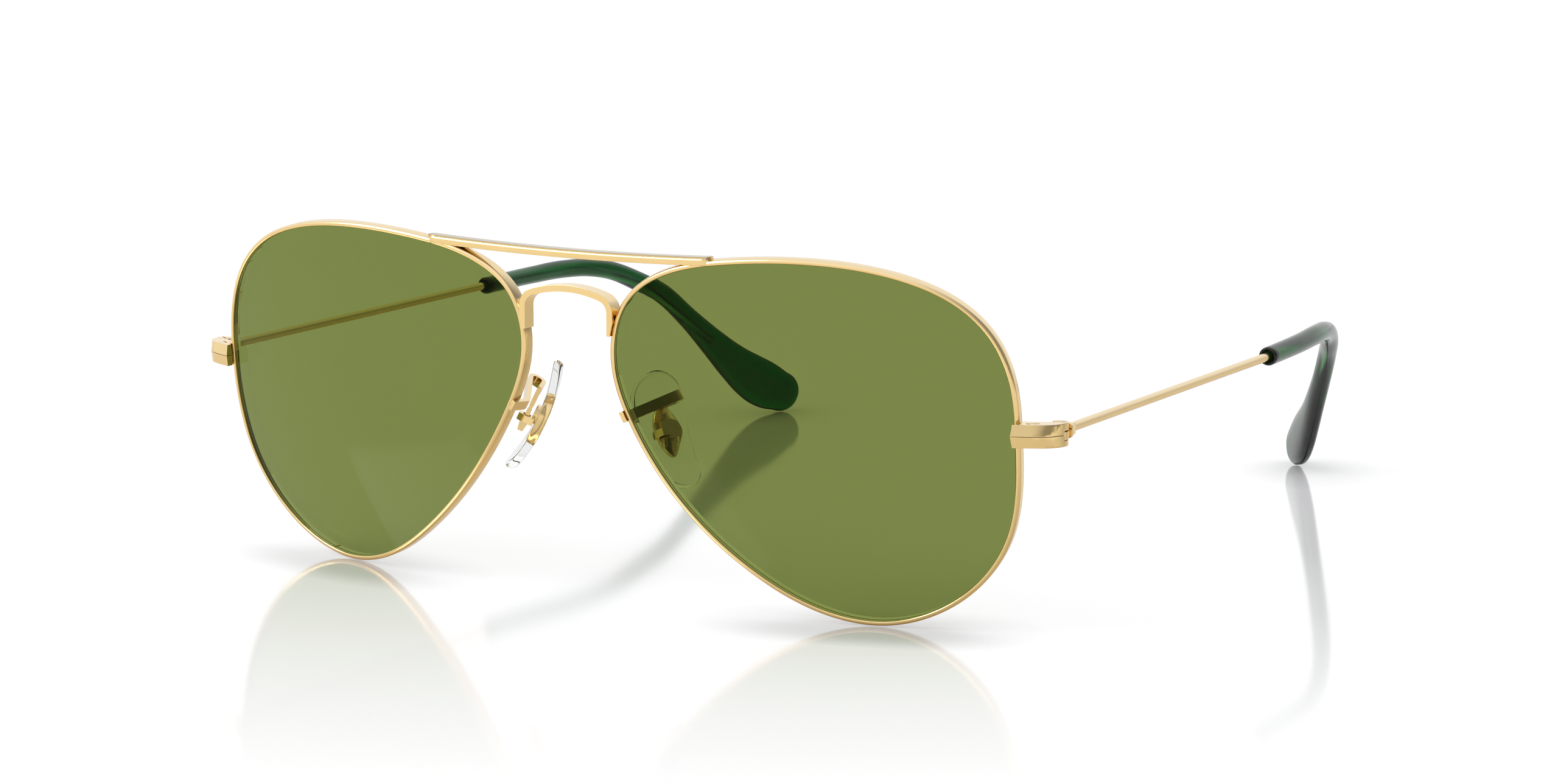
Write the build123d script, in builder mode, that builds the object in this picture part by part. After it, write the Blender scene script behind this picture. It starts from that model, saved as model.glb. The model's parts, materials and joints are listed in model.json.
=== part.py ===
from build123d import *
from math import sqrt
import os

# Aviator sunglasses: two teardrop lenses in thin metal rims, a brow bar and a saddle bridge, screwed rim
# locks with knuckle hinges, straight wire temples and curved acetate tips, and rocking nose pads.
# Frame: +Z up, the front faces -Y, +X is the wearer's left. The tips' lowest points rest on Z = 0.
# Every +X piece is modelled and its -X twin is its mirror image.

# ---- driving dimensions, mm ----
lens_centre = Vector(38.93, -72.92, 26.98)  # centre of the left lens opening, on the rim's front surface
dome_radius = 90.5        # six-base front curve of lens and rim
wrap_angle = 10.7         # temporal side of each lens swept back
lean_angle = 6.35         # top of each lens leaning forward

rim_face = 0.70           # width of the rim seen from the front
rim_depth = 1.65
rim_edge = 0.12           # small bevel on the rim's outer edges
groove_depth = 0.40
groove_front = 0.50       # rim front to the groove's mouth
groove_back = 1.20
rim_slit = 0.10           # the rim is open behind the end piece, where the rim screw closes it

lens_thickness = 1.90
lens_recess = 0.35        # rim front to lens front
tongue_height = 0.33      # lens edge standing in the groove
tongue_front = 0.62
tongue_back = 1.02
fit_gap = 0.04            # air between pieces that are pressed or clipped together

bar_half_length = 22.9
bar_height = 1.15
bar_depth = 2.00
bar_middle_top = lens_centre.Z + 23.08
bar_end_rise = 0.56

bridge_thickness = 0.95
bridge_depth = 2.30
bridge_half_gap = 6.65    # nose to the bridge leg's inner face
bridge_inner_top = lens_centre.Z + 17.18
bridge_foot = lens_centre.Z + 11.5
bridge_crown_radius = 17.0
bridge_corner = 1.7

hinge_x = 69.05
hinge_y = lens_centre.Y + 12.75
end_split = lens_centre.Z + 1.53  # the two halves of the end piece meet here
end_height = 1.59         # each half, split to outer face
split_gap = 0.06
facet_depth = 0.41        # the end piece's upper and lower facets lean back by this much
knuckle_radius = 1.18
slot_above = 0.55         # slot for the temple's knuckle, above and below the split
slot_below = 0.83
temple_knuckle_above = 0.37
temple_knuckle_below = 0.75
hinge_play = 0.05         # radial clearance of the temple's knuckle on its screw

screw_radius = 0.58
screw_head_radius = 0.86
screw_head_height = 0.50
screw_slot = 0.30
screw_tip = 0.27          # hinge screw showing under the bottom knuckle
rim_screw_x = 66.59
rim_screw_y = lens_centre.Y + 9.66

wire_radius = 0.65
wire_height = end_split + 0.28
tip_start = lens_centre.Y + 82.7
tip_thickness = 2.85

pad_centre = Vector(11.56, lens_centre.Y + 7.71, lens_centre.Z - 2.49)
pad_up = Vector(-0.397, 0.182, 0.900).normalized()
pad_back = Vector(0.471, 0.864, 0.033)
pad_bow = 27.8            # bow of the pad along its height
pad_front = 0.90          # pad centre plane to the pad's outer face, towards the nose
pad_thickness = 1.45

strip_width = 1.50        # stamped strip of the pad arm
strip_thickness = 0.62

os.makedirs("parts", exist_ok=True)


def write_pair(piece, name):
    """Write the wearer's-left piece and its mirror image."""
    piece.part.label = "left_" + name
    export_step(piece.part, f"parts/left_{name}.step")
    with BuildPart() as twin:
        mirror(piece.part, about=Plane.YZ)
    twin.part.label = "right_" + name
    export_step(twin.part, f"parts/right_{name}.step")


def write_single(piece, name):
    piece.part.label = name
    export_step(piece.part, f"parts/{name}.step")


# ---- lens plane: x along the lens's width, y up it, z towards the front ----
lens_frame = Location(lens_centre) * Location((0, 0, 0), (lean_angle, 0, 0)) * Location(
    (0, 0, 0), (0, 0, wrap_angle)
)
lens_axes = Plane(lens_frame)
lens_plane = Plane(origin=lens_centre, x_dir=lens_axes.x_dir, z_dir=-lens_axes.y_dir)

# teardrop opening of the rim, in the lens plane
lens_outline = [
    (26.56, 0.0),
    (26.1, 7.0),
    (23.5, 13.6),
    (18.4, 18.4),
    (12.2, 21.15),
    (0.0, 23.15),
    (-13.1, 22.7),
    (-21.1, 21.1),
    (-28.4, 16.4),
    (-30.7, 8.2),
    (-28.15, 0.0),
    (-20.3, -11.7),
    (-11.5, -19.9),
    (-6.3, -23.4),
    (0.0, -26.15),
    (7.2, -27.0),
    (14.45, -25.0),
    (20.55, -20.55),
    (24.65, -14.25),
    (26.3, -7.05),
]


outline_stations = 36


def grown_outline(grow):
    """Points round the lens opening, moved outwards in the lens plane."""
    teardrop = Spline(*lens_outline, periodic=True, mode=Mode.PRIVATE)
    points = []
    for station in range(outline_stations):
        along = station / outline_stations
        outwards = (teardrop % along).rotate(Axis.Z, -90)
        points.append((teardrop @ along) + outwards * grow)
    return points


def opening(grow):
    """The lens opening's outline as a flat face."""
    with BuildSketch(lens_plane, mode=Mode.PRIVATE) as sketch:
        with BuildLine():
            Spline(*grown_outline(grow), periodic=True)
        make_face()
    return sketch.sketch


def dome(depth):
    """Ball whose front is the rim's front surface, moved back by a depth."""
    centre = lens_plane.from_local_coords((0, 0, -dome_radius - depth))
    axes = Plane(origin=centre, x_dir=lens_plane.x_dir, z_dir=lens_plane.y_dir)
    return axes.location * Sphere(dome_radius, mode=Mode.PRIVATE)


def domed_sheet(grow, front, back):
    """Solid inside the grown outline, between two depths behind the rim's front surface."""
    prism = extrude(opening(grow), amount=14, both=True, mode=Mode.PRIVATE)
    return (prism & dome(front)) - dome(back)


def rim_path(depth):
    """The opening's edge on the dome, moved back by a depth."""
    points = []
    for flat in grown_outline(0):
        sag = dome_radius - sqrt(dome_radius**2 - flat.X**2 - flat.Y**2)
        points.append(lens_plane.from_local_coords((flat.X, flat.Y, -sag - depth)))
    return Spline(*points, periodic=True, mode=Mode.PRIVATE)


# ---- rims: grooved strip bent round the lens, open at a slit behind the end piece ----
opening_edge = rim_path(0)
guide_edge = rim_path(5)
backwards = -lens_plane.z_dir
away = backwards.cross(opening_edge % 0)
section_plane = Plane(origin=opening_edge @ 0, x_dir=away, z_dir=away.cross(backwards))
groove_middle = (groove_front + groove_back) / 2
groove_floor = 0.30       # half the width of the groove's floor
rim_section = [
    (0, rim_edge),
    (rim_edge, 0),
    (rim_face - rim_edge, 0),
    (rim_face, rim_edge),
    (rim_face, rim_depth - rim_edge),
    (rim_face - rim_edge, rim_depth),
    (0, rim_depth),
    (0, groove_back),
    (groove_depth, groove_middle + groove_floor),
    (groove_depth, groove_middle - groove_floor),
    (0, groove_front),
]
with BuildPart() as rim:
    with BuildSketch(section_plane):
        with BuildLine():
            Polyline(*rim_section, close=True)
        make_face()
    sweep(path=opening_edge, binormal=guide_edge)
    with BuildSketch(Plane.XY.offset(end_split - rim_slit / 2)):
        with Locations((65, lens_centre.Y + 9)):
            Rectangle(5, 8)
    extrude(amount=rim_slit, mode=Mode.SUBTRACT)
write_pair(rim, "rim")

# ---- lenses: domed sheet with a tongue round its edge that sits in the rim's groove ----
lens_body = domed_sheet(-fit_gap, lens_recess, lens_recess + lens_thickness)
lens_tongue = domed_sheet(tongue_height, tongue_front, tongue_back)
with BuildPart() as lens:
    add(lens_body)
    add(lens_tongue)
write_pair(lens, "lens")

# ---- brow bar: shallow arc over both rims, cut to wedges at its ends ----
over_the_rims = [extrude(opening(rim_face), amount=14, both=True, mode=Mode.PRIVATE)]
over_the_rims.append(mirror(over_the_rims[0], about=Plane.YZ, mode=Mode.PRIVATE))
bar_radius = (bar_half_length**2 + bar_end_rise**2) / (2 * bar_end_rise)
bar_front = lens_centre.Y - 1.35
bar_end_cut = 0.55
with BuildPart() as top_bar:
    with BuildSketch(Plane.XZ.offset(-bar_front)):
        with Locations((0, bar_middle_top - bar_height + bar_radius)):
            Circle(bar_radius)
            Circle(bar_radius - bar_height, mode=Mode.SUBTRACT)
        with Locations((0, bar_middle_top)):
            Rectangle(2 * bar_half_length, 8, mode=Mode.INTERSECT)
    extrude(amount=-bar_depth)
    ends = top_bar.edges().filter_by(Axis.Z, tolerance=5).group_by(Axis.X)
    chamfer(ends[0] + ends[-1], length=bar_end_cut)
    add(over_the_rims, mode=Mode.SUBTRACT)
write_single(top_bar, "top_bar")


# ---- saddle bridge: flat strip bent to an arch, its legs on the rims' nasal sides ----
def arch(half_width, top, corner):
    """Face under a crowned arch with rounded shoulders."""
    shoulder = top - half_width**2 / (2 * bridge_crown_radius)
    with BuildSketch(Plane.XZ.offset(1.3 - lens_centre.Y), mode=Mode.PRIVATE) as sketch:
        with BuildLine():
            ThreePointArc((-half_width, shoulder), (0, top), (half_width, shoulder))
            Polyline(
                (half_width, shoulder),
                (half_width, bridge_foot),
                (-half_width, bridge_foot),
                (-half_width, shoulder),
            )
        make_face()
        fillet(sketch.vertices().group_by(Axis.Y)[-1], corner)
    return sketch.sketch


bridge_outside = arch(
    bridge_half_gap + bridge_thickness,
    bridge_inner_top + bridge_thickness,
    bridge_corner + bridge_thickness,
)
bridge_inside = arch(bridge_half_gap, bridge_inner_top, bridge_corner)
with BuildPart() as bridge:
    extrude(bridge_outside, amount=-bridge_depth)
    extrude(bridge_inside, amount=-bridge_depth, mode=Mode.SUBTRACT)
    add(over_the_rims, mode=Mode.SUBTRACT)
write_single(bridge, "bridge")

# ---- end pieces: an upper and a lower half, soldered to the rim's two ends, with the outer knuckles ----
end_bottom = end_split - end_height
end_top = end_split + end_height
rim_room = domed_sheet(rim_face + 0.06, -0.3, 6)


def end_outline(level, lean):
    """Plan of the end piece: lean is 0 at its mid-height ridge, 1 at its outer face."""
    back = lean * facet_depth
    with BuildSketch(Plane.XY.offset(level), mode=Mode.PRIVATE) as sketch:
        with BuildLine():
            front = Line(
                (64.40 + 0.15 * lean, lens_centre.Y + 7.10 + back),
                (66.90, lens_centre.Y + 8.20 + back),
            )
            Spline(front @ 1, (hinge_x + knuckle_radius, hinge_y), tangents=[front % 1, (0, 1)])
            Polyline(
                (hinge_x + knuckle_radius, hinge_y),
                (hinge_x, hinge_y),
                (hinge_x - 0.97, hinge_y - 0.68),
                (hinge_x - 1.97, hinge_y - 1.38),
                (hinge_x - 3.0, hinge_y - 1.65),
                (64.40 + 0.15 * lean, hinge_y - 2.1),
                front @ 0,
            )
        make_face()
    return sketch.sketch


def end_half(slot):
    """Upper half of the end piece, with the slot for the temple's knuckle left open under it."""
    with BuildPart(mode=Mode.PRIVATE) as half:
        loft([end_outline(end_split, 0), end_outline(end_split + end_height, 1)], ruled=True)
        with BuildSketch(Plane.XY.offset(end_split)):
            with Locations((hinge_x, hinge_y)):
                Circle(knuckle_radius)
        extrude(amount=end_height)
        with BuildSketch(Plane.XY.offset(end_split)):
            with Locations((hinge_x, hinge_y)):
                Circle(knuckle_radius + 0.2)
        extrude(amount=slot, mode=Mode.SUBTRACT)
        with BuildSketch(Plane.XY.offset(end_split)):
            with Locations((hinge_x, hinge_y)):
                Rectangle(20, 20)
        extrude(amount=split_gap / 2, mode=Mode.SUBTRACT)
    return half.part


def screw_hole(x, y, radius, low, high):
    """Cutter for a vertical hole."""
    middle = Pos(x, y, (low + high) / 2)
    return middle * Cylinder(radius, high - low, mode=Mode.PRIVATE)


head_floor = end_top - screw_head_height
with BuildPart() as end_upper:
    add(end_half(slot_above))
    add(rim_room, mode=Mode.SUBTRACT)
    for x, y in ((rim_screw_x, rim_screw_y), (hinge_x, hinge_y)):
        add(screw_hole(x, y, screw_radius + 0.02, end_split - 1, end_top + 1), mode=Mode.SUBTRACT)
        add(screw_hole(x, y, screw_head_radius + fit_gap, head_floor, end_top + 1), mode=Mode.SUBTRACT)
write_pair(end_upper, "end_piece_upper")

with BuildPart() as end_lower:
    mirror(end_half(slot_below), about=Plane.XY.offset(end_split))
    add(rim_room, mode=Mode.SUBTRACT)
    for x, y in ((rim_screw_x, rim_screw_y), (hinge_x, hinge_y)):
        add(screw_hole(x, y, screw_radius + 0.01, end_bottom - 1, end_split + 1), mode=Mode.SUBTRACT)
write_pair(end_lower, "end_piece_lower")


# ---- slotted screws ----
def slotted_screw(x, y, low, high):
    """Cheese-head screw, driven from above; the shank ends in a dome."""
    head_bottom = high - screw_head_height
    with BuildPart(mode=Mode.PRIVATE) as screw:
        with Locations((x, y, (low + high) / 2)):
            Cylinder(screw_radius, high - low)
        fillet(screw.edges().sort_by(Axis.Z)[0], screw_radius * 0.45)
        with Locations((x, y, head_bottom + screw_head_height / 2)):
            Cylinder(screw_head_radius, screw_head_height)
        chamfer(screw.edges().sort_by(Axis.Z)[-1], 0.08)
        with Locations((x, y, high)):
            Box(2 * screw_head_radius, screw_slot, 0.5, rotation=(0, 0, 35), mode=Mode.SUBTRACT)
    return screw.part


with BuildPart() as rim_screw:
    add(slotted_screw(rim_screw_x, rim_screw_y, end_bottom + 0.1, end_top + 0.04))
write_pair(rim_screw, "rim_screw")

with BuildPart() as hinge_screw:
    add(slotted_screw(hinge_x, hinge_y, end_bottom - screw_tip, end_top + 0.04))
write_pair(hinge_screw, "hinge_screw")

# ---- temple hinge: middle knuckle, butt plate and the collar that holds the temple wire ----
plate_near = 1.34         # hinge axis to the butt plate's front
plate_far = 1.95
plate_half_width = 1.15
plate_half_height = 1.08
plate_middle = end_split + 0.20
collar_length = 1.5
collar_width = 1.75
knuckle_top = end_split + temple_knuckle_above
knuckle_bottom = end_split - temple_knuckle_below
knuckle_middle = (knuckle_top + knuckle_bottom) / 2
with BuildPart() as temple_hinge:
    with Locations((hinge_x, hinge_y, knuckle_middle)):
        Cylinder(knuckle_radius + 0.02, knuckle_top - knuckle_bottom)
    with Locations((hinge_x, hinge_y + plate_near / 2, knuckle_middle)):
        Box(1.5, plate_near + 0.2, knuckle_top - knuckle_bottom)
    with BuildSketch(Plane.XZ.offset(-hinge_y - plate_near)):
        with Locations((hinge_x, plate_middle)):
            RectangleRounded(2 * plate_half_width, 2 * plate_half_height, 0.7)
    extrude(amount=plate_near - plate_far)
    with Locations((hinge_x, hinge_y, knuckle_middle)):
        Cylinder(screw_radius + hinge_play, 4, mode=Mode.SUBTRACT)
    with BuildSketch(Plane.XZ.offset(-hinge_y - plate_far)):
        with Locations((hinge_x, wire_height)):
            Rectangle(collar_width, collar_width)
    extrude(amount=-collar_length, taper=5)
    chamfer(temple_hinge.faces().sort_by(Axis.Y)[-1].edges(), 0.1)
    with Locations((hinge_x, hinge_y + plate_far + collar_length / 2, wire_height)):
        Cylinder(wire_radius + 0.005, collar_length + 0.1, rotation=(90, 0, 0), mode=Mode.SUBTRACT)
write_pair(temple_hinge, "temple_hinge")

# ---- temple wire: straight to the tip, then bent with it as its core ----
wire_end_height = lens_centre.Z + 1.62
core_route = [
    (hinge_x, hinge_y + plate_far + 0.05, wire_height),
    (hinge_x, lens_centre.Y + 92, wire_end_height),
    (66.9, lens_centre.Y + 110, wire_end_height),
    (62.5, lens_centre.Y + 122.2, lens_centre.Z - 2.9),
    (56.0, lens_centre.Y + 133.4, lens_centre.Z - 13.7),
]
core_radii = [60, 25, 25]
with BuildLine(mode=Mode.PRIVATE) as core_path:
    FilletPolyline(*core_route, radius=core_radii)
core_start = Plane(origin=core_path.line @ 0, z_dir=core_path.line % 0)


def core(radius):
    """Round bar along the temple wire's route."""
    with BuildPart(mode=Mode.PRIVATE) as bar:
        with BuildSketch(core_start):
            Circle(radius)
        sweep(path=core_path.line)
    return bar.part


with BuildPart() as temple_wire:
    add(core(wire_radius))
write_pair(temple_wire, "temple_wire")

# ---- temple tips: round tube that bends down, curls inwards and widens to a paddle ----
# distance behind the lens centre, height above it, curl towards the head, width in side view, thickness
tip_stations = [
    (82.7, 1.62, 0.0, 2.64, 2.58),
    (83.4, 1.62, 0.0, 2.90, 2.80),
    (96.0, 1.72, 0.50, 2.89, 2.85),
    (104.5, 1.71, 1.40, 3.00, 2.85),
    (110.5, 1.28, 2.60, 3.00, 2.85),
    (116.0, 0.10, 4.10, 3.12, 2.85),
    (121.0, -2.15, 5.90, 3.35, 2.85),
    (125.0, -4.45, 7.75, 3.45, 2.85),
    (130.0, -9.65, 10.70, 3.70, 2.85),
    (133.6, -13.98, 13.15, 4.85, 2.85),
    (137.0, -17.90, 15.50, 6.45, 2.85),
    (139.0, -19.90, 16.90, 7.55, 2.85),
    (141.0, -21.60, 18.30, 8.15, 2.85),
    (142.6, -22.65, 19.40, 7.90, 2.85),
    (144.2, -23.50, 20.50, 6.95, 2.85),
    (148.4, -25.37, 23.40, 6.95, 2.85),
]


def tip_centre(station):
    back, height, inward = tip_stations[station][:3]
    return Vector(hinge_x - 0.05 - inward, lens_centre.Y + back, lens_centre.Z + height)


paddle_radius = 3.45
paddle_slope = -24
with BuildPart() as temple_tip:
    last = len(tip_stations) - 1
    for station, (_, _, _, width, thickness) in enumerate(tip_stations):
        along = tip_centre(min(station + 1, last)) - tip_centre(max(station - 1, 0))
        across = Vector(along.Y, -along.X, 0)
        with BuildSketch(Plane(origin=tip_centre(station), x_dir=across, z_dir=along)):
            Ellipse(thickness / 2, width / 2)
    loft()
    with BuildSketch(Plane.YZ):
        with Locations((lens_centre.Y + 144.2, lens_centre.Z - 23.5)):
            Circle(paddle_radius)
            Rectangle(150, 60, rotation=paddle_slope, align=(Align.MAX, Align.CENTER))
    extrude(amount=90, mode=Mode.INTERSECT)
    add(core(wire_radius + 0.03), mode=Mode.SUBTRACT)
    with Locations((hinge_x - 0.05, tip_start, wire_end_height)):
        Cylinder(0.95, 3, rotation=(90, 0, 0), mode=Mode.SUBTRACT)
write_pair(temple_tip, "temple_tip")


# ---- pad arms: stamped strip, soldered along the rim, looping back to a neck that carries the pad ----
pad_nose = pad_up.cross(pad_back).normalized()
pad_plane = Plane(origin=pad_centre, x_dir=pad_up, z_dir=pad_nose)  # x up, y back, z to the nose
strip_plane = Plane(origin=(0, lens_centre.Y, lens_centre.Z), x_dir=(0.866, 0, 0.5), z_dir=(-0.5, 0, 0.866))
strip_middle = -4.15
strip_route = [(8.1, -1.06), (7.6, 2.0), (12.5, 9.5), (10.2, 9.85), (9.23, 7.3)]
neck_radius = 0.33        # half the neck's width, towards the nose
neck_thickness = 0.42
neck_depth = -0.55        # neck centre line, from the pad's centre plane
neck_lean = 0.125         # the neck leans forward on its way down
tail_top = -1.15
neck_outline = [
    (4.3, neck_radius),
    (1.6, neck_radius),
    (1.3, neck_radius - 0.08),
    (1.0, neck_radius),
    (tail_top, neck_radius),
    (tail_top, 0.60),
    (tail_top - 1.2, 0.38),
]
neck_near = [(up, side) for up, side in neck_outline]
neck_far = [(up, -side) for up, side in reversed(neck_outline)]
neck_origin = pad_plane.from_local_coords(Vector(0, -1.45 - neck_thickness / 2, neck_depth))
neck_up = pad_up + pad_back * neck_lean
neck_back = pad_back - pad_up * neck_lean
with BuildPart() as pad_arm:
    with BuildSketch(strip_plane.offset(strip_middle)):
        with BuildLine():
            FilletPolyline(*strip_route, radius=[1.5, 0.85, 0.85])
        trace(line_width=strip_thickness)
    extrude(amount=strip_width / 2, both=True)
    with BuildSketch(Plane(origin=neck_origin, x_dir=neck_up, z_dir=neck_back)):
        with BuildLine():
            Polyline(*neck_near, *neck_far, close=True)
        make_face()
    extrude(amount=neck_thickness)
    add(domed_sheet(rim_face, -0.3, rim_depth + 0.05), mode=Mode.SUBTRACT)
write_pair(pad_arm, "pad_arm")

# ---- pad mounts: leaf plate moulded into the pad, with the boss and the claw ring round the neck ----
plate_depth = 1.05
plate_thickness = 0.35
ring_depth = 0.25         # the claw ring's inner wall
ring_low = -0.95
ring_height = 1.05
leaf_outline = [
    (4.04, 0.15),
    (3.04, 1.30),
    (1.63, 2.04),
    (0.0, 2.51),
    (-1.4, 1.9),
    (-2.6, 1.2),
    (-3.68, 0.22),
    (-2.7, -0.79),
    (-0.64, -1.49),
    (1.71, -1.53),
    (3.4, -0.68),
]
ring_outside = [(-0.4, 0.65), (-0.4, -0.7), (-0.8, -1.72), (-2.1, -1.72), (-2.5, -0.7), (-2.5, 0.65)]
ring_hole = [(-0.8, 0.0), (-0.8, -1.1), (-2.1, -1.1), (-2.1, 0.0)]
with BuildPart() as pad_mount:
    with BuildSketch(pad_plane.offset(plate_depth)):
        with BuildLine():
            Spline(*leaf_outline, periodic=True)
        make_face()
    extrude(amount=plate_thickness)
    with BuildSketch(pad_plane.offset(ring_depth)):
        with Locations((0.25, 0.5)):
            Circle(1.44)
    extrude(amount=plate_depth - ring_depth)
    ring_origin = pad_centre + pad_up * ring_low
    with BuildSketch(Plane(origin=ring_origin, x_dir=pad_back, z_dir=pad_up)):
        with BuildLine():
            Polyline(*ring_outside, close=True)
        make_face()
        with BuildLine():
            Polyline(*ring_hole, close=True)
        make_face(mode=Mode.SUBTRACT)
    extrude(amount=ring_height)
write_pair(pad_mount, "pad_mount")

# ---- nose pads: clear, bowed along their height, D-shaped in outline ----
pad_outline = [
    (8.75, 0.4),
    (7.75, 2.6),
    (6.0, 3.75),
    (3.5, 3.95),
    (0.0, 3.7),
    (-4.0, 3.6),
    (-6.6, 3.4),
    (-7.9, 2.3),
    (-8.4, 0.6),
    (-8.0, -1.2),
    (-6.2, -2.6),
    (-3.5, -3.3),
    (0.3, -4.0),
    (4.0, -4.4),
    (5.8, -4.1),
    (7.5, -3.0),
    (8.5, -1.3),
]
pad_edge = 0.55
with BuildPart() as nose_pad:
    with BuildSketch(pad_plane.offset(-2)):
        with BuildLine():
            Spline(*pad_outline, periodic=True)
        make_face()
    extrude(amount=6)
    bow_centre = pad_centre + pad_nose * (pad_front - pad_bow)
    with Locations(Plane(origin=bow_centre, x_dir=pad_up, z_dir=pad_back)):
        Cylinder(pad_bow + pad_thickness, 12, mode=Mode.INTERSECT)
        Cylinder(pad_bow, 12, mode=Mode.SUBTRACT)
    fillet(nose_pad.edges(), pad_edge)
    add(pad_mount.part, mode=Mode.SUBTRACT)
write_pair(nose_pad, "nose_pad")
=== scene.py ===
import json
import math

import bmesh
import bpy
import numpy as np
from mathutils import Matrix, Vector

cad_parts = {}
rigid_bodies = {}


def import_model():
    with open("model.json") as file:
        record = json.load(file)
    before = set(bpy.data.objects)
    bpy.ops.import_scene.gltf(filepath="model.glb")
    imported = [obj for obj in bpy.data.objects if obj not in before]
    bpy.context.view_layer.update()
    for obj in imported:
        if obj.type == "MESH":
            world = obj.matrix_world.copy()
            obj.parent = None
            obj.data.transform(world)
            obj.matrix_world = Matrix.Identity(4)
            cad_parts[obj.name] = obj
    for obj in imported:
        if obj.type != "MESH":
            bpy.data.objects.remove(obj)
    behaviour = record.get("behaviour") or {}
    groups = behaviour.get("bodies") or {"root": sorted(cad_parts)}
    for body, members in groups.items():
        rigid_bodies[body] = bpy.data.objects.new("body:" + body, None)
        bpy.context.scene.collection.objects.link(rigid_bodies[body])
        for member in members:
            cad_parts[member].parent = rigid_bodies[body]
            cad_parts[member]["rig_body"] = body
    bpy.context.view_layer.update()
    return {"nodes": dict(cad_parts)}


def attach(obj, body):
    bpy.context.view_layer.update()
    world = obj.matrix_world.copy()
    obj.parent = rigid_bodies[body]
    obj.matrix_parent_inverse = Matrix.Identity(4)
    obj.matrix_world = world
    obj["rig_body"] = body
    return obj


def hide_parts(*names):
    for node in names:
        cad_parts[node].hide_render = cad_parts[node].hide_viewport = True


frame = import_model()
nodes = frame["nodes"]
SIDES = {"left": 1, "right": -1}
MM = 0.001

# ---- sizes shared with the CAD model, mm ----
LENS_CENTRE = np.array([38.93, -72.92, 26.98])  # centre of the left lens opening
LEAN = math.radians(6.35)   # top of each lens leaning forward
WRAP = math.radians(10.7)   # outer side of each lens swept back
DOME = 90.5                 # radius of the lens's front


# ---- materials ----
def new_material(name):
    """A node material and its Principled shader."""
    made = bpy.data.materials.new(name)
    made.use_nodes = True
    return made, made.node_tree.nodes["Principled BSDF"]


def add_node(made, kind, **values):
    """A node with its plain properties or input sockets set."""
    node = made.node_tree.nodes.new(kind)
    for key, value in values.items():
        if hasattr(node, key):
            setattr(node, key, value)
        else:
            node.inputs[key.replace("_", " ")].default_value = value
    return node


def connect(made, start, end):
    made.node_tree.links.new(start, end)


def map_range(made, source, start, end, low, high):
    """A level that runs from low to high while the source runs from start to end."""
    grade = add_node(made, "ShaderNodeMapRange")
    for key, value in (("From Min", start), ("From Max", end), ("To Min", low), ("To Max", high)):
        grade.inputs[key].default_value = value
    connect(made, source, grade.inputs["Value"])
    return grade


def varied_colour(made, shader, scale, dark, light):
    """Base colour that drifts gently between two tones."""
    place = add_node(made, "ShaderNodeTexCoord")
    noise = add_node(made, "ShaderNodeTexNoise", Scale=scale, Detail=3.0)
    ramp = add_node(made, "ShaderNodeValToRGB")
    ramp.color_ramp.elements[0].position = 0.35
    ramp.color_ramp.elements[1].position = 0.65
    ramp.color_ramp.elements[0].color = (*dark, 1)
    ramp.color_ramp.elements[1].color = (*light, 1)
    connect(made, place.outputs["Object"], noise.inputs["Vector"])
    connect(made, noise.outputs["Fac"], ramp.inputs["Fac"])
    connect(made, ramp.outputs["Color"], shader.inputs["Base Color"])
    return place


def varied_roughness(made, shader, place, scale, low, high):
    """Roughness that varies between two levels; gives back its noise."""
    noise = add_node(made, "ShaderNodeTexNoise", Scale=scale, Detail=4.0)
    connect(made, place.outputs["Object"], noise.inputs["Vector"])
    spread = map_range(made, noise.outputs["Fac"], 0.3, 0.7, low, high)
    connect(made, spread.outputs["Result"], shader.inputs["Roughness"])
    return noise


def fine_bump(made, shader, noise, strength, distance):
    bump = add_node(made, "ShaderNodeBump", Strength=strength, Distance=distance)
    connect(made, noise.outputs["Fac"], bump.inputs["Height"])
    connect(made, bump.outputs["Normal"], shader.inputs["Normal"])


def make_gold(name, extra=()):
    """Polished pale gold with painted light: a paler painted highlight on faces that look up and a deeper
    painted shade on faces that look down; extra tones, each given by its own range of the normal's upward
    part, may be added on top.
    """
    made, shader = new_material(name)
    shader.inputs["Metallic"].default_value = 1.0
    place = varied_colour(made, shader, 160, (0.92, 0.665, 0.29), (0.95, 0.695, 0.32))
    tone = shader.inputs["Base Color"].links[0].from_socket
    facing = add_node(made, "ShaderNodeNewGeometry")
    upward = add_node(made, "ShaderNodeSeparateXYZ")
    connect(made, facing.outputs["Normal"], upward.inputs["Vector"])
    # a layer starts and ends at two values of the normal's upward part
    # painted highlight on faces that look up, painted shade on faces that look down
    painted_light_layers = [(0.10, 0.5, (0.86, 0.69, 0.42)), (-0.05, -0.5, (0.72, 0.48, 0.18))]
    for start, end, colour in (*painted_light_layers, *extra):
        share = map_range(made, upward.outputs["Z"], start, end, 0.0, 1.0)
        mixed = add_node(made, "ShaderNodeMix", data_type="RGBA")
        mixed.inputs[7].default_value = (*colour, 1)
        connect(made, share.outputs["Result"], mixed.inputs["Factor"])
        connect(made, tone, mixed.inputs[6])
        tone = mixed.outputs[2]
    connect(made, tone, shader.inputs["Base Color"])
    grain = varied_roughness(made, shader, place, 2600, 0.13, 0.19)
    fine_bump(made, shader, grain, 0.04, 0.00001)
    return made


gold = make_gold("champagne_gold")
# painted shade: the bar's upper front facet is darkened against the key light's reflection; faces that look
# straight up get a darker tone
BAR_FACET_PAINTED_SHADE = (0.60, 0.44, 0.22)
BAR_TOP_TONE = (0.48, 0.41, 0.28)
bar_gold = make_gold("bar_gold", [(0.30, 0.50, BAR_FACET_PAINTED_SHADE), (0.80, 0.95, BAR_TOP_TONE)])


def make_clear(name, scale, dark, light, roughness, bend):
    """A see-through material, its colour drifting between two tones, with an index of refraction."""
    made, shader = new_material(name)
    varied_colour(made, shader, scale, dark, light)
    shader.inputs["Transmission Weight"].default_value = 1.0
    shader.inputs["Roughness"].default_value = roughness
    shader.inputs["IOR"].default_value = bend
    return made, shader


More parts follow.
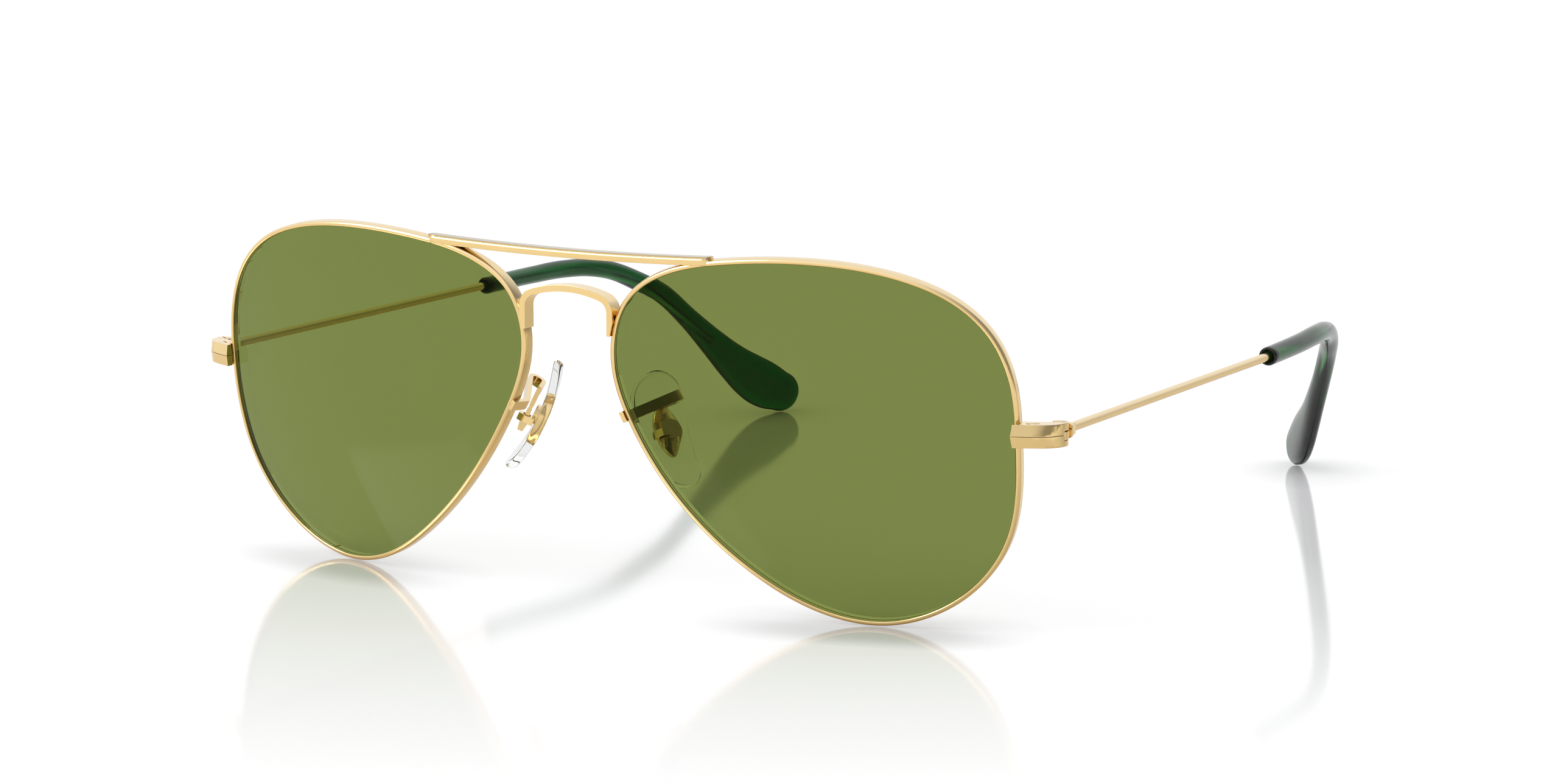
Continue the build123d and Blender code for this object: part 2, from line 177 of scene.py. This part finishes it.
tint, _ = make_clear("green_lens", 25, (0.224, 0.274, 0.072), (0.229, 0.279, 0.075), 0.0, 1.12)
clear, _ = make_clear("clear_silicone", 90, (0.97, 0.98, 0.965), (0.99, 0.99, 0.985), 0.015, 1.22)
acetate, shader = make_clear("green_acetate", 60, (0.08, 0.56, 0.30), (0.11, 0.62, 0.34), 0.03, 1.49)
shader.inputs["Specular IOR Level"].default_value = 0.3
murk = add_node(acetate, "ShaderNodeVolumeAbsorption", Density=1900.0)
murk.inputs["Color"].default_value = (0.01, 0.62, 0.41, 1)
connect(acetate, murk.outputs["Volume"], acetate.node_tree.nodes["Material Output"].inputs["Volume"])


def paint(piece, material):
    piece.data.materials.clear()
    piece.data.materials.append(material)


# ---- mesh helpers ----
def make_piece(name, verts, faces, material, body, slot, *stands_for):
    """A smooth-shaded piece, in millimetres, that rides on a body and stands for CAD nodes."""
    mesh = bpy.data.meshes.new(name)
    mesh.from_pydata([tuple(np.asarray(v) * MM) for v in verts], [], faces)
    mesh.validate()
    mesh.shade_smooth()
    piece = bpy.data.objects.new(name, mesh)
    bpy.context.scene.collection.objects.link(piece)
    fix = bmesh.new()
    fix.from_mesh(mesh)
    bmesh.ops.recalc_face_normals(fix, faces=fix.faces)
    fix.to_mesh(mesh)
    fix.free()
    paint(piece, material)
    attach(piece, body)
    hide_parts(*stands_for)
    return piece


def skin(rings, loop=False, caps=True):
    """Faces over a row of equal rings of points."""
    size = len(rings[0])
    count = len(rings)
    verts = [point for ring in rings for point in ring]
    faces = []
    for row in range(count if loop else count - 1):
        here = row * size
        there = (row + 1) % count * size
        for step in range(size):
            after = (step + 1) % size
            faces.append((here + step, here + after, there + after, there + step))
    if caps and not loop:
        faces.append(tuple(reversed(range(size))))
        faces.append(tuple(range((count - 1) * size, count * size)))
    return verts, faces


def hermite(t, length, start, end, start_slope, end_slope):
    """Cubic from start to end with the given slopes, at t from 0 to 1 over a length."""
    return (
        (2 * t**3 - 3 * t**2 + 1) * start
        + (t**3 - 2 * t**2 + t) * length * start_slope
        + (-2 * t**3 + 3 * t**2) * end
        + (t**3 - t**2) * length * end_slope
    )


def closed_curve(points, samples):
    """Points along a smooth closed curve through the given points, and their unit directions."""
    points = np.asarray(points, float)
    count = len(points)
    spans = np.linalg.norm(np.roll(points, -1, 0) - points, axis=1)
    matrix = np.zeros((count, count))
    right = np.zeros_like(points)
    for here in range(count):
        before, after = (here - 1) % count, (here + 1) % count
        a, b = spans[before], spans[here]
        matrix[here, before] += b
        matrix[here, here] += 2 * (a + b)
        matrix[here, after] += a
        right[here] = 3 * (
            b * (points[here] - points[before]) / a + a * (points[after] - points[here]) / b
        )
    slopes = np.linalg.solve(matrix, right)
    out = []
    heading = []
    total = spans.sum()
    starts = np.concatenate([[0], np.cumsum(spans)])
    for sample in range(samples):
        along = total * sample / samples
        here = min(int(np.searchsorted(starts, along, "right")) - 1, count - 1)
        after = (here + 1) % count
        h = spans[here]
        t = (along - starts[here]) / h
        out.append(hermite(t, h, points[here], points[after], slopes[here], slopes[after]))
        way = (
            (6 * t**2 - 6 * t) * (points[here] - points[after]) / h
            + (3 * t**2 - 4 * t + 1) * slopes[here]
            + (3 * t**2 - 2 * t) * slopes[after]
        )
        heading.append(way / np.linalg.norm(way))
    return np.array(out), np.array(heading)


def open_curve(table, samples):
    """Rows of a table joined smoothly, resampled evenly along the path of the first three columns."""
    table = np.asarray(table, float)
    spans = np.concatenate([[0], np.cumsum(np.linalg.norm(np.diff(table[:, :3], axis=0), axis=1))])
    slopes = np.gradient(table, spans, axis=0)
    rows = []
    for along in np.linspace(0, spans[-1], samples):
        here = min(int(np.searchsorted(spans, along, "right")) - 1, len(table) - 2)
        h = spans[here + 1] - spans[here]
        t = (along - spans[here]) / h
        rows.append(hermite(t, h, table[here], table[here + 1], slopes[here], slopes[here + 1]))
    return np.array(rows)


def unit(vector):
    return vector / np.linalg.norm(vector)


def mirrored(points, side):
    """The points as they are for side 1, or mirrored to the other side for -1."""
    points = np.asarray(points, float).copy()
    points[..., 0] *= side
    return points


SHARP_ANGLE = 25  # degrees between faces, above which an edge is broken
FLAT_ANGLE = 1.0


def bevelled(node, material, width):
    """A copy of a metal CAD piece with its edges broken, as polishing leaves them."""
    source = nodes[node]
    mesh = source.data.copy()
    work = bmesh.new()
    work.from_mesh(mesh)
    bmesh.ops.remove_doubles(work, verts=work.verts, dist=1e-6)
    bmesh.ops.dissolve_limit(
        work, angle_limit=math.radians(FLAT_ANGLE), verts=work.verts, edges=work.edges
    )
    work.to_mesh(mesh)
    work.free()
    piece = bpy.data.objects.new(node + "_polished", mesh)
    bpy.context.scene.collection.objects.link(piece)
    rounding = piece.modifiers.new("edges", "BEVEL")
    rounding.width = width * MM
    rounding.segments = 3
    rounding.limit_method = "ANGLE"
    rounding.angle_limit = math.radians(SHARP_ANGLE)
    even = piece.modifiers.new("normals", "WEIGHTED_NORMAL")
    even.keep_sharp = True
    mesh.shade_smooth()
    paint(piece, material)
    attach(piece, source["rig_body"])
    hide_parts(node)


# ---- lens plane ----
turn = Matrix.Rotation(LEAN, 3, "X") @ Matrix.Rotation(WRAP, 3, "Z")
LENS_X = np.array(turn @ Vector((1, 0, 0)))
LENS_Y = np.array(turn @ Vector((0, 0, 1)))
LENS_FRONT = np.array(turn @ Vector((0, -1, 0)))


def on_dome(flat, depth):
    """A point of the domed front, moved back by a depth."""
    u, v = flat
    sag = DOME - math.sqrt(DOME**2 - u**2 - v**2)
    return LENS_CENTRE + LENS_X * u + LENS_Y * v - LENS_FRONT * (sag + depth)


# ---- rims: crowned front, broken edges ----
RIM_STEPS = 300
# from the lens centre, outwards and up
LENS_OUTLINE = [
    (26.56, 0.0), (26.1, 7.0), (23.5, 13.6), (18.4, 18.4), (12.2, 21.15),
    (0.0, 23.15), (-13.1, 22.7), (-21.1, 21.1), (-28.4, 16.4), (-30.7, 8.2),
    (-28.15, 0.0), (-20.3, -11.7), (-11.5, -19.9), (-6.3, -23.4), (0.0, -26.15),
    (7.2, -27.0), (14.45, -25.0), (20.55, -20.55), (24.65, -14.25), (26.3, -7.05),
]
# distance out from the lens opening, depth from the rim's front
RIM_SECTION = [
    (0.00, 0.28), (0.03, 0.16), (0.10, 0.07), (0.20, 0.02), (0.34, 0.0), (0.48, 0.02), (0.59, 0.07),
    (0.67, 0.15), (0.70, 0.27), (0.70, 0.8), (0.70, 1.45), (0.67, 1.58), (0.56, 1.65), (0.35, 1.65),
    (0.10, 1.65), (0.02, 1.60), (0.0, 1.50), (0.0, 0.9),
]
outline, heading = closed_curve(LENS_OUTLINE, RIM_STEPS)
outwards = np.stack([heading[:, 1], -heading[:, 0]], 1)
if np.sum(outwards * outline) < 0:
    outwards = -outwards
rim_rings = [
    [on_dome(flat + out * step, depth) for step, depth in RIM_SECTION]
    for flat, out in zip(outline, outwards)
]
for side, sign in SIDES.items():
    verts, faces = skin(mirrored(rim_rings, sign), loop=True)
    make_piece(side + "_rim_wire", verts, faces, gold, "front", "champagne_gold", side + "_rim")
    paint(nodes[side + "_lens"], tint)

# ---- top bar: shallow arc with a facet along its upper front edge ----
BAR_HALF_LENGTH = 22.9
BAR_HEIGHT = 1.15
BAR_DEPTH = 2.0
BAR_END_CUT = 0.55  # corners cut off at each end
BAR_STEPS = 61
BAR_RISE = 0.56
BAR_TOP = LENS_CENTRE[2] + 23.08
BAR_FRONT = LENS_CENTRE[1] - 1.35
# depth from the front, height above the lower face
BAR_SECTION = [
    (0.06, 0.0), (0.0, 0.06), (0.0, 0.72), (0.03, 0.78), (0.25, 1.10), (0.31, 1.15),
    (1.94, 1.15), (2.0, 1.09), (2.0, 0.06), (1.94, 0.0),
]
bar_radius = (BAR_HALF_LENGTH**2 + BAR_RISE**2) / (2 * BAR_RISE)
full_end = BAR_HALF_LENGTH - BAR_END_CUT
bar_rings = []
for along in [-BAR_HALF_LENGTH, *np.linspace(-full_end, full_end, BAR_STEPS), BAR_HALF_LENGTH]:
    cut = BAR_END_CUT * (abs(along) > full_end)
    base = BAR_TOP - BAR_HEIGHT + bar_radius - math.sqrt(bar_radius**2 - along**2)
    bar_rings.append(
        [
            np.array([along, BAR_FRONT + min(max(depth, cut), BAR_DEPTH - cut), base + height])
            for depth, height in BAR_SECTION
        ]
    )
verts, faces = skin(bar_rings)
top_bar = make_piece("top_bar_polished", verts, faces, bar_gold, "front", "champagne_gold", "top_bar")
top_bar.modifiers.new("normals", "WEIGHTED_NORMAL")

# ---- small metal pieces: the CAD shapes with broken edges ----
bevelled("bridge", gold, 0.16)
for side in SIDES:
    for part, width in (
        ("end_piece_upper", 0.03),
        ("end_piece_lower", 0.03),
        ("rim_screw", 0.05),
        ("hinge_screw", 0.05),
        ("pad_arm", 0.08),
        ("temple_hinge", 0.07),
        ("pad_mount", 0.06),
    ):
        bevelled(f"{side}_{part}", gold, width)
    paint(nodes[side + "_temple_wire"], gold)

# ---- temple tips: translucent acetate over the wire, open mouth, paddle end ----
# distance behind the lens centre, height above it, curl towards the head, width in side view
TIP_STATIONS = [
    (82.7, 1.62, 0.00, 2.80), (96.0, 1.72, 0.50, 2.88), (104.5, 1.71, 1.40, 3.00),
    (110.5, 1.28, 2.60, 3.00), (116.0, 0.10, 4.10, 3.12), (121.0, -2.15, 5.90, 3.35),
    (125.0, -4.45, 7.75, 3.45), (130.0, -9.65, 10.70, 3.70), (133.6, -13.98, 13.15, 4.85),
    (137.0, -17.90, 15.50, 6.45), (139.0, -19.90, 16.90, 7.55), (141.0, -21.60, 18.30, 8.15),
    (142.6, -22.65, 19.40, 7.90), (144.2, -23.50, 20.50, 6.95),
]
TIP_THICK = 2.85
TIP_SIDEWAYS = 69.0  # from the middle of the glasses to the straight part
CORE_RADIUS = 0.66
MOUTH_RADIUS = 0.95
MOUTH_DEPTH = 1.5
SQUARE_FROM = 3.4    # the paddle's section turns from round to a rounded box above this width
SQUARE_OVER = 4.0
PADDLE_REACH = 3.5   # last station to the paddle's end
PADDLE_THIN = 0.55   # the paddle gets thinner over the rest of its reach
PADDLE_STEPS = 12
THINNEST = 0.02
TIP_STEPS = 110
RING = 40
stations = [
    (TIP_SIDEWAYS - inward, LENS_CENTRE[1] + back, LENS_CENTRE[2] + high, wide, TIP_THICK)
    for back, high, inward, wide in TIP_STATIONS
]
rows = open_curve(stations, TIP_STEPS)
centres = rows[:, :3]
widths = rows[:, 3]
ways = np.array([unit(way) for way in np.gradient(centres, axis=0)])


def tip_ring(centre, way, thick, wide, power=2.0):
    """Rounded ring across the tip, its thin side towards the head."""
    across = unit(np.array([way[1], -way[0], 0]))
    up = np.cross(across, way)
    ring = []
    for step in range(RING):
        turn_by = 2 * math.pi * step / RING
        level = math.cos(turn_by)
        climb = math.sin(turn_by)
        level = math.copysign(abs(level) ** (2 / power), level)
        climb = math.copysign(abs(climb) ** (2 / power), climb)
        ring.append(centre + across * level * thick / 2 + up * climb * wide / 2)
    return ring


# the mouth's bore from its floor outwards, then the rounded rim of the mouth: depth and radius or share
MOUTH_BORE = [
    (MOUTH_DEPTH, CORE_RADIUS), (MOUTH_DEPTH, MOUTH_RADIUS), (0.25, MOUTH_RADIUS), (0.06, 1.0),
]
MOUTH_EDGE = [(0.0, 0.80), (0.02, 0.87), (0.10, 0.935), (0.25, 0.975), (0.5, 1.0)]
tip_rings = []
for depth, radius in MOUTH_BORE:
    tip_rings.append(tip_ring(centres[0] + ways[0] * depth, ways[0], 2 * radius, 2 * radius))
for depth, share in MOUTH_EDGE:
    tip_rings.append(
        tip_ring(centres[0] + ways[0] * depth, ways[0], TIP_THICK * share, widths[0] * share)
    )
for centre, way, wide in zip(centres[2:], ways[2:], widths[2:]):
    power = 2.0 + 0.6 * min(1.0, max(0.0, (wide - SQUARE_FROM) / SQUARE_OVER))
    tip_rings.append(tip_ring(centre, way, TIP_THICK, wide, power))
for step in range(1, PADDLE_STEPS + 1):
    turn_by = math.pi / 2 * step / PADDLE_STEPS
    out = math.sin(turn_by)
    wide = max(widths[-1] * math.cos(turn_by), THINNEST)
    thinned = max(0.0, (out - PADDLE_THIN) / (1 - PADDLE_THIN))
    thick = max(TIP_THICK * math.sqrt(max(0.0, 1 - thinned**2)), THINNEST)
    tip_rings.append(tip_ring(centres[-1] + ways[-1] * PADDLE_REACH * out, ways[-1], thick, wide, 2.4))
for side, sign in SIDES.items():
    verts, faces = skin(mirrored(tip_rings, sign))
    name = side + "_tip_acetate"
    make_piece(name, verts, faces, acetate, side + "_temple", "green_acetate", side + "_temple_tip")

# ---- nose pads: clear, D-shaped, bowed, with round edges ----
PAD_CENTRE = np.array([11.56, LENS_CENTRE[1] + 7.71, LENS_CENTRE[2] - 2.49])
PAD_UP = unit(np.array([-0.397, 0.182, 0.900]))
PAD_NOSE = unit(np.cross(PAD_UP, np.array([0.471, 0.864, 0.033])))
PAD_BACK = np.cross(PAD_NOSE, PAD_UP)
PAD_BOW = 27.8      # radius of its curve along its height
PAD_FRONT = 0.90    # how far its middle stands towards the nose
PAD_THICK = 1.45
PAD_EDGE = 0.62     # how far the round edge reaches in
PAD_EDGE_STEPS = 12
PAD_STEPS = 96
# up and back from the pad's centre
PAD_OUTLINE = [
    (8.75, 0.4), (7.75, 2.6), (6.0, 3.75), (3.5, 3.95), (0.0, 3.7), (-4.0, 3.6), (-6.6, 3.4),
    (-7.9, 2.3), (-8.4, 0.6), (-8.0, -1.2), (-6.2, -2.6), (-3.5, -3.3), (0.3, -4.0), (4.0, -4.4),
    (5.8, -4.1), (7.5, -3.0), (8.5, -1.3),
]


def pad_point(up, back, lift):
    """A point of the bowed pad, at a height through its thickness."""
    bend = PAD_BOW + lift
    nose = PAD_FRONT - PAD_BOW + math.sqrt(bend**2 - up**2)
    return PAD_CENTRE + PAD_UP * up + PAD_BACK * back + PAD_NOSE * nose


edge, edge_way = closed_curve(PAD_OUTLINE, PAD_STEPS)
edge_in = np.stack([-edge_way[:, 1], edge_way[:, 0]], 1)
if np.sum(edge_in * edge) > 0:
    edge_in = -edge_in


def pad_ring(inset, share, lift):
    """The pad's outline set in, shrunk to a share, at a height through its thickness."""
    return [pad_point(*((point + inwards * inset) * share), lift) for point, inwards in zip(edge, edge_in)]


pad_rings = [pad_ring(PAD_EDGE, share, 0) for share in (0.25, 0.5, 0.75)]
for step in range(PAD_EDGE_STEPS + 1):
    turn_by = math.pi * step / PAD_EDGE_STEPS
    inset = PAD_EDGE * (1 - math.sin(turn_by))
    pad_rings.append(pad_ring(inset, 1, PAD_THICK / 2 * (1 - math.cos(turn_by))))
pad_rings += [pad_ring(PAD_EDGE, share, PAD_THICK) for share in (0.75, 0.5, 0.25)]
for side, sign in SIDES.items():
    verts, faces = skin(mirrored(pad_rings, sign))
    name = side + "_pad_silicone"
    make_piece(name, verts, faces, clear, side + "_pad", "clear_silicone", side + "_nose_pad")

# ---- leaf plates: the gold plate moulded into each pad ----
LEAF_OUTLINE = [
    (4.04, 0.15), (3.04, 1.30), (1.63, 2.04), (0.0, 2.51), (-1.4, 1.9), (-2.6, 1.2), (-3.68, 0.22),
    (-2.7, -0.79), (-0.64, -1.49), (1.71, -1.53), (3.4, -0.68),
]
# share of the outline, height through the pad's thickness
LEAF_LAYERS = [(0.95, 0.20), (1.0, 0.30), (1.0, 0.95), (0.96, 1.05), (0.5, 1.05)]
LEAF_STEPS = 72
leaf_edge, _ = closed_curve(LEAF_OUTLINE, LEAF_STEPS)
leaf_rings = [[pad_point(*(point * share), lift) for point in leaf_edge] for share, lift in LEAF_LAYERS]
for side, sign in SIDES.items():
    verts, faces = skin(mirrored(leaf_rings, sign))
    name = side + "_pad_leaf"
    make_piece(name, verts, faces, gold, side + "_pad", "champagne_gold", side + "_pad_mount")

# ---- floor: white, with a soft reflection that fades towards the front ----
AZIMUTH = math.radians(29.488)
FLOOR_SIZE = 12
FLOOR_DROP = 0.0001
FLOOR_GLOW = 0.78
MIRROR_LEVEL = 0.46
CONTACT_REACH = 0.012
bpy.ops.mesh.primitive_plane_add(size=FLOOR_SIZE, location=(0, 0, -FLOOR_DROP))
floor = bpy.context.object
floor.name = "floor"
white = bpy.data.materials.new("white_floor")
white.use_nodes = True
white.node_tree.nodes.clear()
place = add_node(white, "ShaderNodeTexCoord")
forward = add_node(white, "ShaderNodeVectorMath", operation="DOT_PRODUCT")
forward.inputs[1].default_value = (math.sin(AZIMUTH), -math.cos(AZIMUTH), 0)
connect(white, place.outputs["Object"], forward.inputs[0])
forward = forward.outputs["Value"]

# mirror level, which fades to nothing in front of the glasses
mirror = map_range(white, forward, 0.03, 0.18, MIRROR_LEVEL, 0.0)
shine = add_node(white, "ShaderNodeBsdfGlossy")
shine.inputs["Roughness"].default_value = 0.09
connect(white, mirror.outputs["Result"], shine.inputs["Color"])

# glow: the mirror takes its share, metal sees a dimmer floor close by, and contacts are shaded
rest = add_node(white, "ShaderNodeMath", operation="SUBTRACT")
rest.inputs[0].default_value = FLOOR_GLOW
connect(white, mirror.outputs["Result"], rest.inputs[1])
ray = add_node(white, "ShaderNodeLightPath")
seen_in_metal = map_range(white, forward, 0.06, 0.16, 0.45, 0.80)
dimmer = map_range(white, ray.outputs["Is Glossy Ray"], 0.0, 1.0, 1.0, 1.0)
connect(white, seen_in_metal.outputs["Result"], dimmer.inputs["To Max"])
level = add_node(white, "ShaderNodeMath", operation="MULTIPLY")
connect(white, rest.outputs["Value"], level.inputs[0])
connect(white, dimmer.outputs["Result"], level.inputs[1])
touch = add_node(white, "ShaderNodeAmbientOcclusion", samples=12)
touch.inputs["Distance"].default_value = CONTACT_REACH
contact = map_range(white, touch.outputs["AO"], 0.72, 0.99, 0.45, 1.0)
shaded = add_node(white, "ShaderNodeMath", operation="MULTIPLY")
connect(white, level.outputs["Value"], shaded.inputs[0])
connect(white, contact.outputs["Result"], shaded.inputs[1])
glow = add_node(white, "ShaderNodeEmission")
connect(white, shaded.outputs["Value"], glow.inputs["Strength"])

# all three together
matt = add_node(white, "ShaderNodeBsdfDiffuse")
matt.inputs["Color"].default_value = (0.26, 0.26, 0.27, 1)
both = add_node(white, "ShaderNodeAddShader")
every = add_node(white, "ShaderNodeAddShader")
result = add_node(white, "ShaderNodeOutputMaterial")
connect(white, glow.outputs["Emission"], both.inputs[0])
connect(white, matt.outputs["BSDF"], both.inputs[1])
connect(white, both.outputs["Shader"], every.inputs[0])
connect(white, shine.outputs["BSDF"], every.inputs[1])
connect(white, every.outputs["Shader"], result.inputs["Surface"])
floor.data.materials.append(white)

# ---- studio light: white behind, graded in front, darker to the right ----
world = bpy.data.worlds.new("studio")
bpy.context.scene.world = world
world.use_nodes = True
sky = world.node_tree.nodes["Background"]
sky.inputs["Color"].default_value = (1, 1, 1, 1)
place = add_node(world, "ShaderNodeTexCoord")
split = add_node(world, "ShaderNodeSeparateXYZ")
connect(world, place.outputs["Generated"], split.inputs["Vector"])
height = map_range(world, split.outputs["Z"], 0.0, 0.30, 0.88, 1.05)
in_front = map_range(world, split.outputs["Y"], 0.15, -0.35, 0.0, 1.0)
sideways = map_range(world, split.outputs["X"], 0.20, 0.70, 1.0, 0.30)
ahead = add_node(world, "ShaderNodeMix")
ahead.inputs[2].default_value = 1.0
connect(world, in_front.outputs["Result"], ahead.inputs[0])
connect(world, height.outputs["Result"], ahead.inputs[3])
total = add_node(world, "ShaderNodeMath", operation="MULTIPLY")
connect(world, ahead.outputs[0], total.inputs[0])
connect(world, sideways.outputs["Result"], total.inputs[1])
connect(world, total.outputs["Value"], sky.inputs["Strength"])

LAMP_PLACE = Vector((-0.55, -0.55, 0.55))
LAMP_TARGET = Vector((0, -0.03, 0.02))
lamp = bpy.data.lights.new("key_light", "AREA")
lamp.shape = "RECTANGLE"
lamp.size = 0.5
lamp.size_y = 0.35
lamp.energy = 3.2
holder = bpy.data.objects.new("key_light", lamp)
bpy.context.scene.collection.objects.link(holder)
holder.location = LAMP_PLACE
holder.rotation_euler = (LAMP_TARGET - LAMP_PLACE).to_track_quat("-Z", "Y").to_euler()

# ---- camera ----
ELEVATION = math.radians(10.097)
ROLL = math.radians(0.074)
CAMERA_RIGHT = 315.98    # mm from the middle of the glasses
CAMERA_AHEAD = 498.71    # mm in front of the lens centre
CAMERA_ABOVE = 108.02    # mm above it
camera_data = bpy.data.cameras.new("camera")
camera_data.lens = 99.17
camera_data.sensor_width = 36.0
camera_data.clip_start = 0.01
camera_data.clip_end = 50
camera = bpy.data.objects.new("camera", camera_data)
bpy.context.scene.collection.objects.link(camera)
behind = Vector(
    (
        math.sin(AZIMUTH) * math.cos(ELEVATION),
        -math.cos(AZIMUTH) * math.cos(ELEVATION),
        math.sin(ELEVATION),
    )
)
right = Vector((math.cos(AZIMUTH), math.sin(AZIMUTH), 0))
above = behind.cross(right)
aim = Matrix((right, above, behind)).transposed() @ Matrix.Rotation(ROLL, 3, "Z")
camera_place = Vector((CAMERA_RIGHT, LENS_CENTRE[1] - CAMERA_AHEAD, LENS_CENTRE[2] + CAMERA_ABOVE)) * MM
camera.matrix_world = Matrix.Translation(camera_place) @ aim.to_4x4()
bpy.context.scene.camera = camera
bpy.context.scene.view_settings.view_transform = "Standard"
